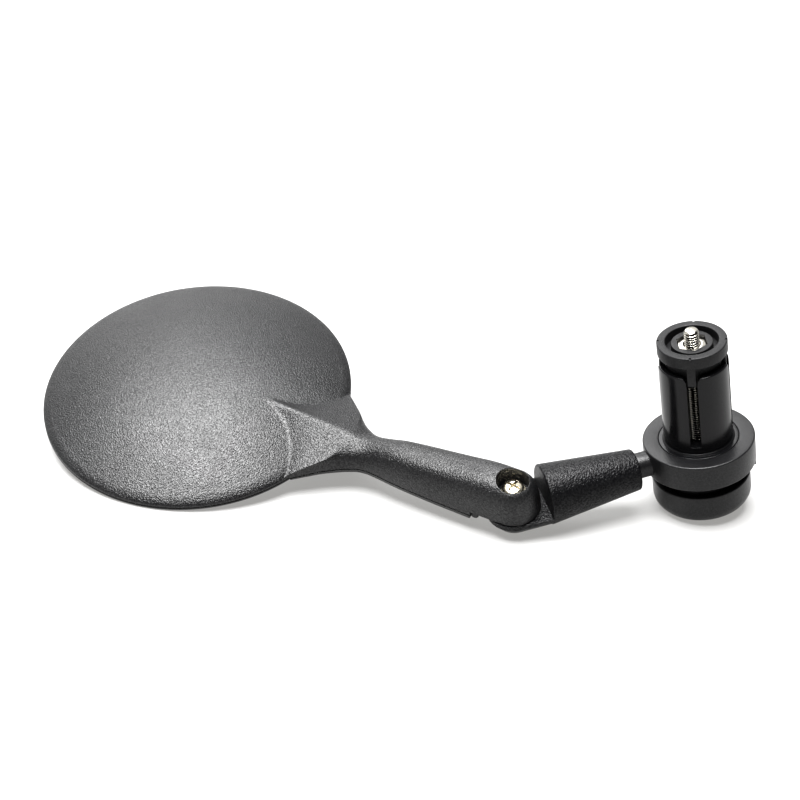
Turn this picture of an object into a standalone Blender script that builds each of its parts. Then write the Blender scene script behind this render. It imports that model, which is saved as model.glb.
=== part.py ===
"""Bar-end bicycle mirror: a round convex mirror on a moulded arm, an elbow, a short
turning link, a swivel ring, and an expanding plug that is clamped inside a handlebar.

Frame: the plug's axis is +Z, pointing into the handlebar. The origin is on that axis,
at the bearing face that meets the end of the bar. The link leaves along -X.
Lengths below are in millimetres and are turned into metres as the meshes are made.
"""

import math

import bmesh
import bpy
from mathutils import Matrix, Vector

MM = 0.001
GAP = 0.3  # clearance left between touching pieces

# ---- expanding plug
PLUG_R = 9.0  # 18 mm plug for bars of 18.5 to 19.6 mm bore
BORE_R = 6.3
JAW_BOTTOM, JAW_TOP = 2.75, 23.6
SLOT_W = 2.8
SLOT_AZ = -114.5  # azimuth of the first of four slots
COLLAR_BOTTOM, COLLAR_TOP = 26.45, 29.75
CONE_SLOPE = 0.42
HUB_FLANGE_R = 10.35
BOLT_R = 1.95  # M4
BOLT_HOLE_R = 2.3
NUT_AF, NUT_POCKET_AF = 7.0, 7.3
PIN_R, PIN_HOLE_R, PIN_NUT_AF = 1.45, 1.8, 5.5

# ---- swivel ring and end cap
RING_R, RING_T = 14.55, 7.37
CAP_R, CAP_TOP, CAP_BOTTOM, CAP_EDGE = 12.8, -10.8, -19.75, 4.2
BARREL_R = 6.8

# ---- turning link
NECK_Z, NECK_R = -4.24, 3.4
TWIST = 11.92  # the link's turn about its own axis
LINK_NEAR, LINK_FAR = -17.7, -42.95
LINK_R_NEAR, LINK_R_FAR, LINK_DROP = 5.45, 8.09, -1.0
ELBOW_X = 51.07
LAP_R, LAP_TOP = 7.2, -2.6

# ---- elbow, arm and mirror head (elbow frame: x along the arm, z along the hinge)
BEND = 46.39
KNUCKLE_R, KNUCKLE_BOTTOM, ARM_TOP = 6.9, -2.3, 8.0
ARM_BELLY = -2.5  # level of the arm's widest line
ARM_UNDER = -3.5  # flat underside of the arm and of the rear shell
STEP_X = 9.3
HEAD_X, HEAD_R = 97.38, 42.14
HEAD_TOP, HEAD_CURVE = 7.8, 0.00569
FACE_Z = -4.48  # front plane of the bezel
GLASS_R, GLASS_T, GLASS_SAG = 37.9, 1.4, 0.9

for old in list(bpy.data.objects):
    bpy.data.objects.remove(old)

scene = bpy.context.scene
parts = bpy.data.collections.new("bar_end_mirror")
cutters = bpy.data.collections.new("cutters")
for group in (parts, cutters):
    scene.collection.children.link(group)


# ------------------------------------------------------------------ helpers
def material(name, colour, roughness, metallic=0.0):
    mat = bpy.data.materials.new(name)
    mat.use_nodes = True
    bsdf = mat.node_tree.nodes["Principled BSDF"]
    bsdf.inputs["Base Color"].default_value = (*colour, 1.0)
    bsdf.inputs["Roughness"].default_value = roughness
    bsdf.inputs["Metallic"].default_value = metallic
    return mat


def frame(name, parent=None, at=(0, 0, 0), turn=(0, 0, 0)):
    empty = bpy.data.objects.new(name, None)
    empty.empty_display_size = 5 * MM
    empty.location = Vector(at) * MM
    empty.rotation_euler = [math.radians(v) for v in turn]
    empty.parent = parent
    parts.objects.link(empty)
    return empty


def add(name, mesh, parent=None, at=(0, 0, 0), turn=(0, 0, 0), mat=None, cutter=False):
    obj = bpy.data.objects.new(name, mesh)
    obj.location = Vector(at) * MM
    obj.rotation_euler = [math.radians(v) for v in turn]
    obj.parent = parent
    if mat is not None:
        mesh.materials.append(mat)
    if cutter:
        obj.hide_render = True
        obj.display_type = "WIRE"
        cutters.objects.link(obj)
    else:
        parts.objects.link(obj)
    return obj


def turned(name, profile, steps=48, **kw):
    """A turned shape. The profile is (radius, height) down the outer side; one that
    doesn't start and end on the axis is closed into a ring."""
    mesh = bpy.data.meshes.new(name)
    points = [(r * MM, 0, z * MM) for r, z in profile]
    edges = [(i, i + 1) for i in range(len(points) - 1)]
    if profile[0][0] > 0 or profile[-1][0] > 0:
        edges.append((len(points) - 1, 0))
    mesh.from_pydata(points, edges, [])
    obj = add(name, mesh, **kw)
    screw = obj.modifiers.new("turn", "SCREW")
    screw.axis = "Z"
    screw.angle = math.tau
    screw.steps = screw.render_steps = steps
    screw.use_merge_vertices = True
    screw.merge_threshold = 0.00001
    screw.use_smooth_shade = True
    return obj


def prism(name, sides, across, low, high, **kw):
    """A cylinder or, with few sides, a polygonal bar. across is the corner radius."""
    bm = bmesh.new()
    bmesh.ops.create_cone(
        bm, cap_ends=True, segments=sides, radius1=across * MM, radius2=across * MM,
        depth=(high - low) * MM,
    )
    bmesh.ops.translate(bm, verts=bm.verts, vec=(0, 0, (high + low) / 2 * MM))
    mesh = bpy.data.meshes.new(name)
    bm.to_mesh(mesh)
    bm.free()
    return add(name, mesh, **kw)


def block(name, low, high, rounded=0.0, pick=None, segments=2, **kw):
    """A box between two corners, with the picked edges rounded."""
    bm = bmesh.new()
    bmesh.ops.create_cube(bm, size=1.0)
    low, high = Vector(low), Vector(high)
    for v in bm.verts:
        v.co = Vector(low[i] + (v.co[i] + 0.5) * (high[i] - low[i]) for i in range(3)) * MM
    if rounded:
        edges = [e for e in bm.edges if pick is None or pick((e.verts[0].co + e.verts[1].co) / 2 / MM)]
        bmesh.ops.bevel(bm, geom=edges, offset=rounded * MM, segments=segments, affect="EDGES", profile=0.5)
    bmesh.ops.recalc_face_normals(bm, faces=bm.faces)
    mesh = bpy.data.meshes.new(name)
    bm.to_mesh(mesh)
    bm.free()
    return add(name, mesh, **kw)


def loft(name, sections, **kw):
    """A skin over closed sections with equal numbers of points, capped at both ends."""
    bm = bmesh.new()
    rows = [[bm.verts.new(Vector(p) * MM) for p in section] for section in sections]
    n = len(rows[0])
    for a, b in zip(rows, rows[1:]):
        for i in range(n):
            bm.faces.new((a[i], a[(i + 1) % n], b[(i + 1) % n], b[i]))
    bm.faces.new(reversed(rows[0]))
    bm.faces.new(rows[-1])
    bmesh.ops.recalc_face_normals(bm, faces=bm.faces)
    mesh = bpy.data.meshes.new(name)
    bm.to_mesh(mesh)
    bm.free()
    return add(name, mesh, **kw)


def hull(name, points, **kw):
    """The tightest convex solid round a set of points."""
    bm = bmesh.new()
    for p in points:
        bm.verts.new(Vector(p) * MM)
    found = bmesh.ops.convex_hull(bm, input=bm.verts)
    inside = list(set(found["geom_interior"]) | set(found["geom_unused"]))
    bmesh.ops.delete(bm, geom=[g for g in inside if isinstance(g, bmesh.types.BMVert)], context="VERTS")
    bmesh.ops.dissolve_limit(bm, angle_limit=0.01, verts=bm.verts, edges=bm.edges)
    bmesh.ops.recalc_face_normals(bm, faces=bm.faces)
    mesh = bpy.data.meshes.new(name)
    bm.to_mesh(mesh)
    bm.free()
    return add(name, mesh, **kw)


def boolean(obj, tool, operation="DIFFERENCE"):
    mod = obj.modifiers.new(operation.lower(), "BOOLEAN")
    mod.operation = operation
    mod.solver = "EXACT"
    mod.object = tool


def circle(radius, z, count, x=0.0, phase=0.0):
    return [
        (x + radius * math.cos(phase + math.tau * i / count), radius * math.sin(phase + math.tau * i / count), z)
        for i in range(count)
    ]


def arc(cr, cz, radius, start, end, count):
    """Points of a quarter-round in a profile, by angle in degrees."""
    return [
        (
            cr + radius * math.cos(math.radians(start + (end - start) * i / count)),
            cz + radius * math.sin(math.radians(start + (end - start) * i / count)),
        )
        for i in range(count + 1)
    ]


def along(table, x):
    """Smooth reading of a table of (x, value), by monotone cubic pieces."""
    xs = [p[0] for p in table]
    ys = [p[1] for p in table]
    if x <= xs[0]:
        return ys[0]
    if x >= xs[-1]:
        return ys[-1]
    slopes = [(ys[i + 1] - ys[i]) / (xs[i + 1] - xs[i]) for i in range(len(xs) - 1)]
    grads = [slopes[0]]
    for s0, s1 in zip(slopes, slopes[1:]):
        grads.append(0.0 if s0 * s1 <= 0 else 2 * s0 * s1 / (s0 + s1))
    grads.append(slopes[-1])
    i = max(k for k in range(len(xs) - 1) if xs[k] <= x)
    h = xs[i + 1] - xs[i]
    t = (x - xs[i]) / h
    return (
        (2 * t**3 - 3 * t**2 + 1) * ys[i]
        + (t**3 - 2 * t**2 + t) * h * grads[i]
        + (-2 * t**3 + 3 * t**2) * ys[i + 1]
        + (t**3 - t**2) * h * grads[i + 1]
    )


# ---------------------------------------------------------------- materials
satin_black = material("satin_black", (0.030, 0.031, 0.033), 0.50)
gloss_black = material("gloss_black", (0.012, 0.012, 0.013), 0.18)
grained_black = material("grained_black", (0.028, 0.029, 0.031), 0.55)
nylon_dark = material("nylon_dark", (0.045, 0.045, 0.048), 0.60)
bright_steel = material("bright_steel", (0.78, 0.77, 0.72), 0.22, 1.0)
mirror_face = material("mirror_face", (0.86, 0.88, 0.90), 0.03, 1.0)
foam_grey = material("foam_grey", (0.16, 0.16, 0.17), 0.95)

# ------------------------------------------------------------------- frames
link_frame = frame("link_axis", at=(0, 0, NECK_Z), turn=(TWIST, 0, 0))
elbow_link = frame("elbow_on_link", parent=link_frame, at=(-ELBOW_X, 0, 0))
elbow_frame = frame("elbow_axis", parent=link_frame, at=(-ELBOW_X, 0, 0), turn=(0, 0, 180 - BEND))

# --------------------------------------------------------- plug hub (fixed)
plug_hub = turned(
    "plug_hub",
    [
        (PLUG_R, 2.5), (PLUG_R, 0.5), (9.35, 0.2), (9.35, 0.0), (HUB_FLANGE_R, 0.0), (HUB_FLANGE_R, -0.95),
        (BARREL_R, -0.95), (BARREL_R, -11.5), (BOLT_HOLE_R, -11.5), (BOLT_HOLE_R, 0.6), (BORE_R, 0.6), (BORE_R, 2.5),
    ],
    steps=44,
    mat=gloss_black,
)

# Four jaws, the split tube of the plug, each bending outwards at its root.
for k in range(4):
    slot_az = SLOT_AZ + 90 * k
    mid = math.radians(slot_az + 45)
    root = frame(
        f"jaw_root_{k + 1}",
        at=(8.8 * math.cos(mid), 8.8 * math.sin(mid), JAW_BOTTOM),
    )
    jaw = turned(
        f"plug_jaw_{k + 1}",
        [
            (8.5, JAW_TOP), (8.85, JAW_TOP - 0.15), (PLUG_R, JAW_TOP - 0.5), (PLUG_R, JAW_BOTTOM),
            (BORE_R, JAW_BOTTOM), (BORE_R, 20.4), (7.63, JAW_TOP),
        ],
        steps=64,
        parent=root,
        at=(-8.8 * math.cos(mid), -8.8 * math.sin(mid), -JAW_BOTTOM),
        mat=gloss_black,
    )
    sector = block(
        f"jaw_sector_{k + 1}",
        (SLOT_W / 2, SLOT_W / 2, 0),
        (13, 13, JAW_TOP - 0.05),
        rounded=1.2,
        pick=lambda m: m.z > JAW_TOP - 1 and (m.x < 2 or m.y < 2),
        segments=3,
        turn=(0, 0, slot_az),
        cutter=True,
    )
    boolean(jaw, sector, "INTERSECT")

# ------------------------------------------------------- expander and clamp
expander_cone = turned(
    "expander_cone",
    [
        (8.75, COLLAR_TOP), (PLUG_R, COLLAR_TOP - 0.25), (PLUG_R, COLLAR_BOTTOM + 0.25), (8.75, COLLAR_BOTTOM),
        (7.75, COLLAR_BOTTOM), (7.3, JAW_TOP), (5.2, 18.6), (4.9, 18.3), (BOLT_HOLE_R, 18.3), (BOLT_HOLE_R, 29.15),
        (5.35, 29.15), (5.35, 27.2), (6.8, 27.2), (6.8, COLLAR_TOP),
    ],
    steps=40,
    mat=nylon_dark,
)
boolean(
    expander_cone,
    prism("nut_pocket", 6, NUT_POCKET_AF / 2 / math.cos(math.pi / 6), 25.4, 31, turn=(0, 0, 20), cutter=True),
)
for k in range(4):
    key = block(
        f"expander_key_{k + 1}", (4.0, -1.1, 20.9), (8.35, 1.1, 26.6), turn=(0, 0, SLOT_AZ + 90 * k), cutter=True
    )
    boolean(expander_cone, key, "UNION")
boolean(expander_cone, prism("expander_bore", 32, BOLT_HOLE_R, 17, 25.9, cutter=True))

clamp_nut = prism(
    "clamp_nut", 6, NUT_AF / 2 / math.cos(math.pi / 6), 25.7, 28.6, turn=(0, 0, 20), mat=bright_steel
)
boolean(clamp_nut, prism("clamp_nut_thread", 32, BOLT_R + GAP, 25, 29.5, cutter=True))

clamp_bolt = turned(
    "clamp_bolt",
    [(0, 32.75), (1.0, 32.65), (1.6, 32.35), (BOLT_R, 31.85), (BOLT_R, -15.7), (3.5, -15.7), (3.5, -19.1), (3.2, -19.4), (0, -19.4)],
    steps=32,
    mat=bright_steel,
)
boolean(clamp_bolt, prism("hex_socket", 6, 1.5 / math.cos(math.pi / 6), -20, -17.4, cutter=True))

bolt_washer = turned("bolt_washer", [(4.4, -14.6), (4.4, -15.4), (BOLT_HOLE_R, -15.4), (BOLT_HOLE_R, -14.6)], steps=40, mat=bright_steel)

end_cap = turned(
    "end_cap",
    [(10.8, -9.6), (10.8, CAP_TOP), (12.5, CAP_TOP), (CAP_R, CAP_TOP - 0.3)]
    + arc(CAP_R - CAP_EDGE, CAP_BOTTOM + CAP_EDGE, CAP_EDGE, 0, -90, 5)
    + [(4.7, CAP_BOTTOM), (4.7, -14.3), (BOLT_HOLE_R, -14.3), (BOLT_HOLE_R, -11.8), (7.1, -11.8), (7.1, -9.6)],
    steps=48,
    mat=satin_black,
)

friction_washer = turned(
    "friction_washer", [(11.6, -7.67), (11.6, -9.3), (7.1, -9.3), (7.1, -7.67)], steps=36, mat=nylon_dark
)
tab = block("washer_tab", (11.2, -1.6, -10.5), (14.0, 1.6, -7.95), turn=(0, 0, -13), cutter=True)
boolean(friction_washer, tab, "UNION")
for k in (-1, 0, 1):
    az = math.radians(-13) + k * 1.05 / 14.0
    tooth = prism(
        f"washer_tooth_{k + 2}", 8, 0.42, -10.5, -7.95, at=(14.0 * math.cos(az), 14.0 * math.sin(az), 0), cutter=True
    )
    boolean(friction_washer, tooth, "UNION")

# -------------------------------------------------------------- swivel ring
swivel_ring = turned(
    "swivel_ring",
    [
        (RING_R - 0.3, 0.0), (RING_R, -0.3), (RING_R, -RING_T + 0.3), (RING_R - 0.3, -RING_T), (7.1, -RING_T),
        (7.1, -1.25), (10.6, -1.25), (10.6, 0.0),
    ],
    steps=48,
    mat=satin_black,
)
neck = turned("neck", [(0, -13), (NECK_R, -13), (NECK_R, -24.7), (NECK_R - 0.3, -25.0), (0, -25.0)], steps=32, parent=link_frame, turn=(0, 90, 0), cutter=True)
boolean(swivel_ring, neck, "UNION")
boolean(swivel_ring, prism("neck_bore", 24, 1.75, -27, -6, parent=link_frame, turn=(0, 90, 0), cutter=True))
boolean(swivel_ring, prism("head_pocket", 32, 2.6, -11.3, -5, parent=link_frame, turn=(0, 90, 0), cutter=True))

link_pivot_washer = turned(
    "link_pivot_washer", [(2.35, -10.2), (2.35, -11.0), (1.75, -11.0), (1.75, -10.2)], steps=28,
    parent=link_frame, turn=(0, 90, 0), mat=bright_steel,
)
link_pivot_screw = turned(
    "link_pivot_screw",
    [(0, -7.9), (1.8, -7.9), (2.2, -8.3), (2.2, -9.9), (1.45, -9.9), (1.45, -33.0), (0, -34.0)],
    steps=24, parent=link_frame, turn=(0, 90, 0), mat=bright_steel,
)
boolean(link_pivot_screw, block("pivot_slot_a", (-9.2, -1.3, -0.35), (-7, 1.3, 0.35), parent=link_frame, cutter=True))
boolean(link_pivot_screw, block("pivot_slot_b", (-9.2, -0.35, -1.3), (-7, 0.35, 1.3), parent=link_frame, cutter=True))

# ------------------------------------------------------------- turning link
link_arm = turned(
    "link_arm",
    [
        (0, LINK_NEAR), (LINK_R_NEAR - 0.5, LINK_NEAR), (LINK_R_NEAR - 0.1, LINK_NEAR - 0.2),
        (LINK_R_NEAR + 0.05, LINK_NEAR - 0.6), (LINK_R_FAR - 0.04, LINK_FAR + 0.5), (LINK_R_FAR - 0.2, LINK_FAR + 0.12),
        (LINK_R_FAR - 0.5, LINK_FAR), (0, LINK_FAR),
    ],
    steps=48, parent=link_frame, at=(0, 0, LINK_DROP), turn=(0, 90, 0), mat=grained_black,
)
# Lower lap: a round plate under the knuckle, dished down to a nut boss, running back
# into the underside of the link's body.
lap_points = circle(LAP_R, LAP_TOP, 40) + circle(LAP_R, LAP_TOP - 1.5, 40) + circle(4.6, -7.6, 32)
for i in range(25):
    turn_at = math.radians(180 + 180 * i / 24)
    y, z = 7.85 * math.cos(turn_at), LINK_DROP + 7.85 * math.sin(turn_at)
    lap_points.append((ELBOW_X + LINK_FAR + 0.6, y, min(z, LAP_TOP)))
lap = hull("lower_lap", lap_points, parent=elbow_link, cutter=True)
boolean(link_arm, lap, "UNION")
boolean(link_arm, prism("knuckle_sweep", 64, KNUCKLE_R + 0.45, LAP_TOP, 20, parent=elbow_link, cutter=True))
boolean(link_arm, prism("neck_socket", 32, NECK_R + GAP, -25.3, -10, parent=link_frame, turn=(0, 90, 0), cutter=True))
boolean(link_arm, prism("pivot_pilot", 24, 1.75, -35, -20, parent=link_frame, turn=(0, 90, 0), cutter=True))
boolean(link_arm, prism("lap_hole", 28, PIN_HOLE_R, -9, 0, parent=elbow_link, cutter=True))
boolean(
    link_arm,
    prism("lap_nut_pocket", 6, PIN_NUT_AF / 2 / math.cos(math.pi / 6) + 0.17, -9, -4.3, parent=elbow_link, cutter=True),
)

elbow_nut = prism(
    "elbow_nut", 6, PIN_NUT_AF / 2 / math.cos(math.pi / 6), -7.0, -4.6, parent=elbow_link, mat=bright_steel
)
boolean(elbow_nut, prism("elbow_nut_thread", 28, PIN_R + GAP, -8, -4, parent=elbow_link, cutter=True))
elbow_screw = turned(
    "elbow_screw",
    [
        (0, 6.0), (1.1, 5.93), (2.0, 5.62), (2.6, 5.0), (2.8, 4.3), (2.8, 3.7), (PIN_R, 3.7), (PIN_R, -7.5),
        (1.2, -7.8), (0, -7.8),
    ],
    steps=32, parent=elbow_link, mat=bright_steel,
)
for k in (0, 1):
    slot = block(f"cross_{k}", (-1.75, -0.38, 4.6), (1.75, 0.38, 7.0), parent=elbow_link, turn=(0, 0, 35 + 90 * k), cutter=True)
    boolean(elbow_screw, slot)
elbow_washer = turned(
    "elbow_washer", [(3.5, 3.4), (3.5, 2.7), (PIN_HOLE_R, 2.7), (PIN_HOLE_R, 3.4)], steps=36, parent=elbow_link,
    mat=bright_steel,
)

# ------------------------------------------------ rear shell with its arm
ARM_HEIGHT = [(0, 8.0), (4, 8.0), (8, 7.7), (12.6, 7.0), (18.9, 6.1), (26.8, 5.25), (33.5, 4.5), (38, 3.5), (41, 2.8), (44, 3.0), (48, 3.8), (58, 5.0), (80, 7.0)]
ARM_HALF = [(0, 6.9), (8, 6.9), (12.6, 6.8), (18.9, 6.65), (26.8, 6.3), (33.5, 5.8), (38, 5.3), (41, 5.1), (43, 5.3), (46, 6.5), (49, 8.3), (52, 10.5), (55, 13.2), (58.3, 16.2)]
ARM_POWER = [(0, 3.0), (8, 2.95), (12.6, 2.85), (18.9, 2.7), (26.8, 2.5), (33.5, 2.3), (38, 2.1), (43, 1.9), (48, 1.8), (49.5, 2.2), (51, 3.4), (53, 5.0), (60, 6.0)]
RIDGE = [(43, 2.5), (48.4, 2.95), (53, 3.35), (58, 3.65), (63.7, 3.98), (70, 4.38), (75.5, 4.95)]
ROOF_FALL = [(49, 0.30), (52, 0.325), (58, 0.375), (63, 0.45), (66, 0.51), (70, 0.5), (76, 0.5)]


def dome(r):
    return HEAD_TOP - HEAD_CURVE * r * r


def roof(x, y):
    """The two flat facets that run from the arm's ridge down to the rim."""
    soft = math.sqrt(y * y + 0.8) - math.sqrt(0.8)
    lift = 0.9 * max(0.0, 44.0 - x)
    return along(RIDGE, x) - along(ROOF_FALL, x) * soft + lift


def half_width(x):
    """The arm's half width; past the rim it is where the facet sinks into the dome."""
    if x <= 58.3:
        return along(ARM_HALF, x)
    y = 0.4
    while y < 16.2 and roof(x, y) > dome(math.hypot(HEAD_X - x, y)) - 0.35:
        y += 0.1
    return y


def arm_section(x, low, count=20):
    half, belly = half_width(x), ARM_BELLY
    power, height = along(ARM_POWER, x), along(ARM_HEIGHT, x) - ARM_BELLY
    top = []
    for i in range(count + 1):
        t = math.pi * i / count
        y = half * math.copysign(abs(math.cos(t)) ** (2 / power), math.cos(t))
        z = belly + height * abs(math.sin(t)) ** (2 / power)
        if x > 58.3:
            z = roof(x, y)
        elif x > 40:
            z = min(z, roof(x, y))
        top.append((x, y, z))
    return [(x, half, low)] + top + [(x, -half, low)]


stations = [0, 8, 13, 20, 27, 33, 37, 40, 42, 44, 46, 48.5, 51, 53.5, 56, 58.3, 61, 64.5, 68.5, 72.5, 75.2]
arm = loft("arm", [arm_section(x, -6.0) for x in stations], parent=elbow_frame, cutter=True)

knuckle_profile = [(0, ARM_TOP)]
for i in range(1, 9):
    t = math.pi / 2 * (1 - i / 8)
    knuckle_profile.append(
        (KNUCKLE_R * math.cos(t) ** (2 / 3), ARM_BELLY + (ARM_TOP - ARM_BELLY) * math.sin(t) ** (2 / 3))
    )
knuckle_profile += [(KNUCKLE_R, -6.4), (0, -6.4)]
knuckle = turned("knuckle", knuckle_profile, steps=48, parent=elbow_frame, cutter=True)

dome_profile = [(r, dome(r)) for r in (0, 8, 16, 23, 29, 34, 38, 40.4)]
dome_profile += [(41.5, -2.1), (HEAD_R, -3.0), (HEAD_R, -7.0), (0, -7.0)]
mirror_housing = turned(
    "mirror_housing", dome_profile, steps=72, parent=elbow_frame, at=(HEAD_X, 0, 0), mat=grained_black
)
boolean(mirror_housing, arm, "UNION")
boolean(mirror_housing, knuckle, "UNION")
cavity_profile = [(r, 5.9 - 0.00548 * r * r) for r in (0, 12, 22, 30, 36, 39.4)] + [(39.4, -9.0), (0, -9.0)]
boolean(mirror_housing, block("underside", (-30, -60, -20), (160, 60, ARM_UNDER), parent=elbow_frame, cutter=True))
boolean(mirror_housing, turned("shell_cavity", cavity_profile, steps=60, parent=elbow_frame, at=(HEAD_X, 0, 0), cutter=True))
boolean(mirror_housing, block("lap_step", (-30, -30, -21), (STEP_X, 30, KNUCKLE_BOTTOM), parent=elbow_frame, cutter=True))
boolean(mirror_housing, prism("screw_counterbore", 40, 4.3, 2.4, 20, parent=elbow_frame, cutter=True))
boolean(mirror_housing, prism("screw_hole", 28, PIN_HOLE_R, -10, 5, parent=elbow_frame, cutter=True))

# -------------------------------------------- bezel with its tail under the arm
front_bezel = turned(
    "front_bezel",
    [
        (39.1, -2.85), (39.1, -3.8), (HEAD_R, -3.8), (HEAD_R, -4.15), (41.8, FACE_Z), (36.95, FACE_Z), (36.6, -4.2),
        (36.6, -3.8), (38.25, -3.8), (38.25, -2.85),
    ],
    steps=72, parent=elbow_frame, at=(HEAD_X, 0, 0), mat=satin_black,
)
TAIL_TOP = ARM_UNDER - GAP
TAIL_LOW = [(10, -5.05), (46, -5.0), (56, -4.6), (61, -4.46)]
tail_sections = []
for x in (STEP_X + 0.3, 14, 20, 27, 34, 39.5, 43.5, 46.5, 49.5, 52.5, 55.5, 58.0, 59.8):
    w = min(half_width(x), math.sqrt(max(0.0, HEAD_R**2 - (HEAD_X - x) ** 2)) - 0.3 if x > 58.2 else 99)
    low = along(TAIL_LOW, x)
    tail_sections.append(
        [(x, w, TAIL_TOP), (x, -w, TAIL_TOP), (x, -w, low + 0.45), (x, -w + 0.45, low), (x, w - 0.45, low), (x, w, low + 0.45)]
    )
tail = loft("bezel_tail", tail_sections, parent=elbow_frame, cutter=True)
boolean(front_bezel, tail, "UNION")
tail_hook = turned(
    "tail_hook", [(0, 5.4), (1.2, 5.4), (1.2, -5.4), (0, -5.4)], steps=16,
    parent=elbow_frame, at=(STEP_X - 0.35, 0, -4.75), turn=(90, 0, 0), cutter=True,
)
boolean(front_bezel, tail_hook, "UNION")

# ----------------------------------------------------------- glass and pad
edge = (0.0, 14.0, 27.0, GLASS_R)


def bulge(r, z):
    return z - GLASS_SAG * (1 - (r / GLASS_R) ** 2)


mirror_glass = turned(
    "mirror_glass",
    [(r, bulge(r, -3.5 + GLASS_T)) for r in edge] + [(r, bulge(r, -3.5)) for r in reversed(edge)],
    steps=64, parent=elbow_frame, at=(HEAD_X, 0, 0), mat=mirror_face,
)
glass_pad = turned(
    "glass_pad",
    [(0, -0.1), (32, -0.1)] + [(r, bulge(r, -3.5 + GLASS_T + GAP)) for r in (32, 22, 12, 0)],
    steps=40, parent=elbow_frame, at=(HEAD_X, 0, 0), mat=foam_grey,
)

# -------------------------------------------------- settle meshes, shade round
bpy.context.view_layer.update()
depsgraph = bpy.context.evaluated_depsgraph_get()
finished = {}
for obj in parts.objects:
    if obj.type == "MESH":
        finished[obj] = bpy.data.meshes.new_from_object(obj.evaluated_get(depsgraph), depsgraph=depsgraph)
for obj, mesh in finished.items():
    bm = bmesh.new()
    bm.from_mesh(mesh)
    bmesh.ops.remove_doubles(bm, verts=bm.verts, dist=0.000004)
    bmesh.ops.dissolve_degenerate(bm, edges=bm.edges, dist=0.000004)
    bm.to_mesh(mesh)
    bm.free()
    obj.modifiers.clear()
    obj.data = mesh
    mesh.shade_smooth()
    mesh.set_sharp_from_angle(angle=math.radians(32))
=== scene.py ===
"""Looks for the bar-end bicycle mirror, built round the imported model.

Row frame: the plug's axis is +Z and the origin is at its bearing face. Lengths below are in
millimetres and are turned into metres when a mesh is made.
"""

import math

import bmesh
import bpy
import numpy as np
from mathutils import Matrix, Vector


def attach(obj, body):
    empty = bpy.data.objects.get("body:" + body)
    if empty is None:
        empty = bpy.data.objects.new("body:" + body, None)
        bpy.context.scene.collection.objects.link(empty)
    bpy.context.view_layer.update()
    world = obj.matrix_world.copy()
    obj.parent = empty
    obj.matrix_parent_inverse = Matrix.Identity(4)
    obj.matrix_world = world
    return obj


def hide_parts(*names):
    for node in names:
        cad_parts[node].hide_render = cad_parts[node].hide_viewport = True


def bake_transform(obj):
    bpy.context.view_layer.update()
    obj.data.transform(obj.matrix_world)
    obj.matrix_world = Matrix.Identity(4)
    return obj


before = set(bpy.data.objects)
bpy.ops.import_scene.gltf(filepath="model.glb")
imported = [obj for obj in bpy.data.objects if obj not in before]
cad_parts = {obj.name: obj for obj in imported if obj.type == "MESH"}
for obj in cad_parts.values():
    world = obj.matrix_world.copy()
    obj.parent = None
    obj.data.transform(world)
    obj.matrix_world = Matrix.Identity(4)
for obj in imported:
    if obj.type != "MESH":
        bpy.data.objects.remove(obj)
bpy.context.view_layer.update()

MM = 0.001
TAU = math.tau
scene = bpy.context.scene

# ------------------------------------------------------------------ dimensions
PLUG_R, BORE_R = 9.0, 6.3
JAW_TOP, SLOT_FLOOR, SLOT_W, SLOT_AZ = 23.6, 2.5, 2.8, -114.5
COLLAR_BOTTOM, COLLAR_TOP = 26.45, 29.75
HUB_FLANGE_R, BARREL_R = 10.35, 6.8
BOLT_R, BOLT_ROOT_R, BOLT_PITCH, BOLT_HOLE_R = 1.95, 1.42, 0.7, 2.3
RING_R, RING_T = 14.55, 7.37
CAP_R, CAP_TOP, CAP_BOTTOM, CAP_EDGE = 12.8, -10.8, -19.75, 4.2
NECK_Z, NECK_R, TWIST = -4.24, 3.4, 11.92
LINK_NEAR, LINK_FAR, LINK_R_NEAR, LINK_R_FAR, LINK_DROP = -17.7, -42.95, 5.45, 8.09, -1.0
PIN_R, PIN_ROOT_R, PIN_HOLE_R, PIN_NUT_AF, PIN_FLOOR = 1.45, 1.2, 1.8, 5.5, 2.4
ELBOW_X, LAP_R, LAP_TOP, BEND = 51.07, 7.2, -2.6, 46.39
KNUCKLE_R, ARM_TOP, ARM_BELLY, ARM_UNDER, STEP_X = 6.9, 8.0, -2.5, -3.5, 9.3
HEAD_X, HEAD_R, HEAD_TOP, HEAD_CURVE = 97.38, 42.12, 7.8, 0.00569
FACE_Z, GLASS_R, GLASS_T, GLASS_SAG = -4.48, 37.9, 1.4, 0.9


def turn(degrees, axis):
    return Matrix.Rotation(math.radians(degrees), 4, axis)


def shift(x, y, z):
    return Matrix.Translation((x, y, z))


PLUG = Matrix.Identity(4)
LINK = shift(0, 0, NECK_Z) @ turn(TWIST, "X")
LINK_TURNED = LINK @ turn(90, "Y")
ELBOW = LINK @ shift(-ELBOW_X, 0, 0)
ARM = ELBOW @ turn(180 - BEND, "Z")
HEAD = ARM @ shift(HEAD_X, 0, 0)


# --------------------------------------------------------------- mesh helpers
def mesh_object(name, verts, faces, at=PLUG, sharp=33.0):
    """verts in mm in the frame `at`; the object itself stays at the origin."""
    v = np.asarray(verts, float)
    m = np.array(at, float)
    w = (v @ m[:3, :3].T + m[:3, 3]) * MM
    mesh = bpy.data.meshes.new(name)
    mesh.from_pydata(w.tolist(), [], faces)
    mesh.update()
    obj = bpy.data.objects.new(name, mesh)
    scene.collection.objects.link(obj)
    tidy(obj, sharp)
    return obj


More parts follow.
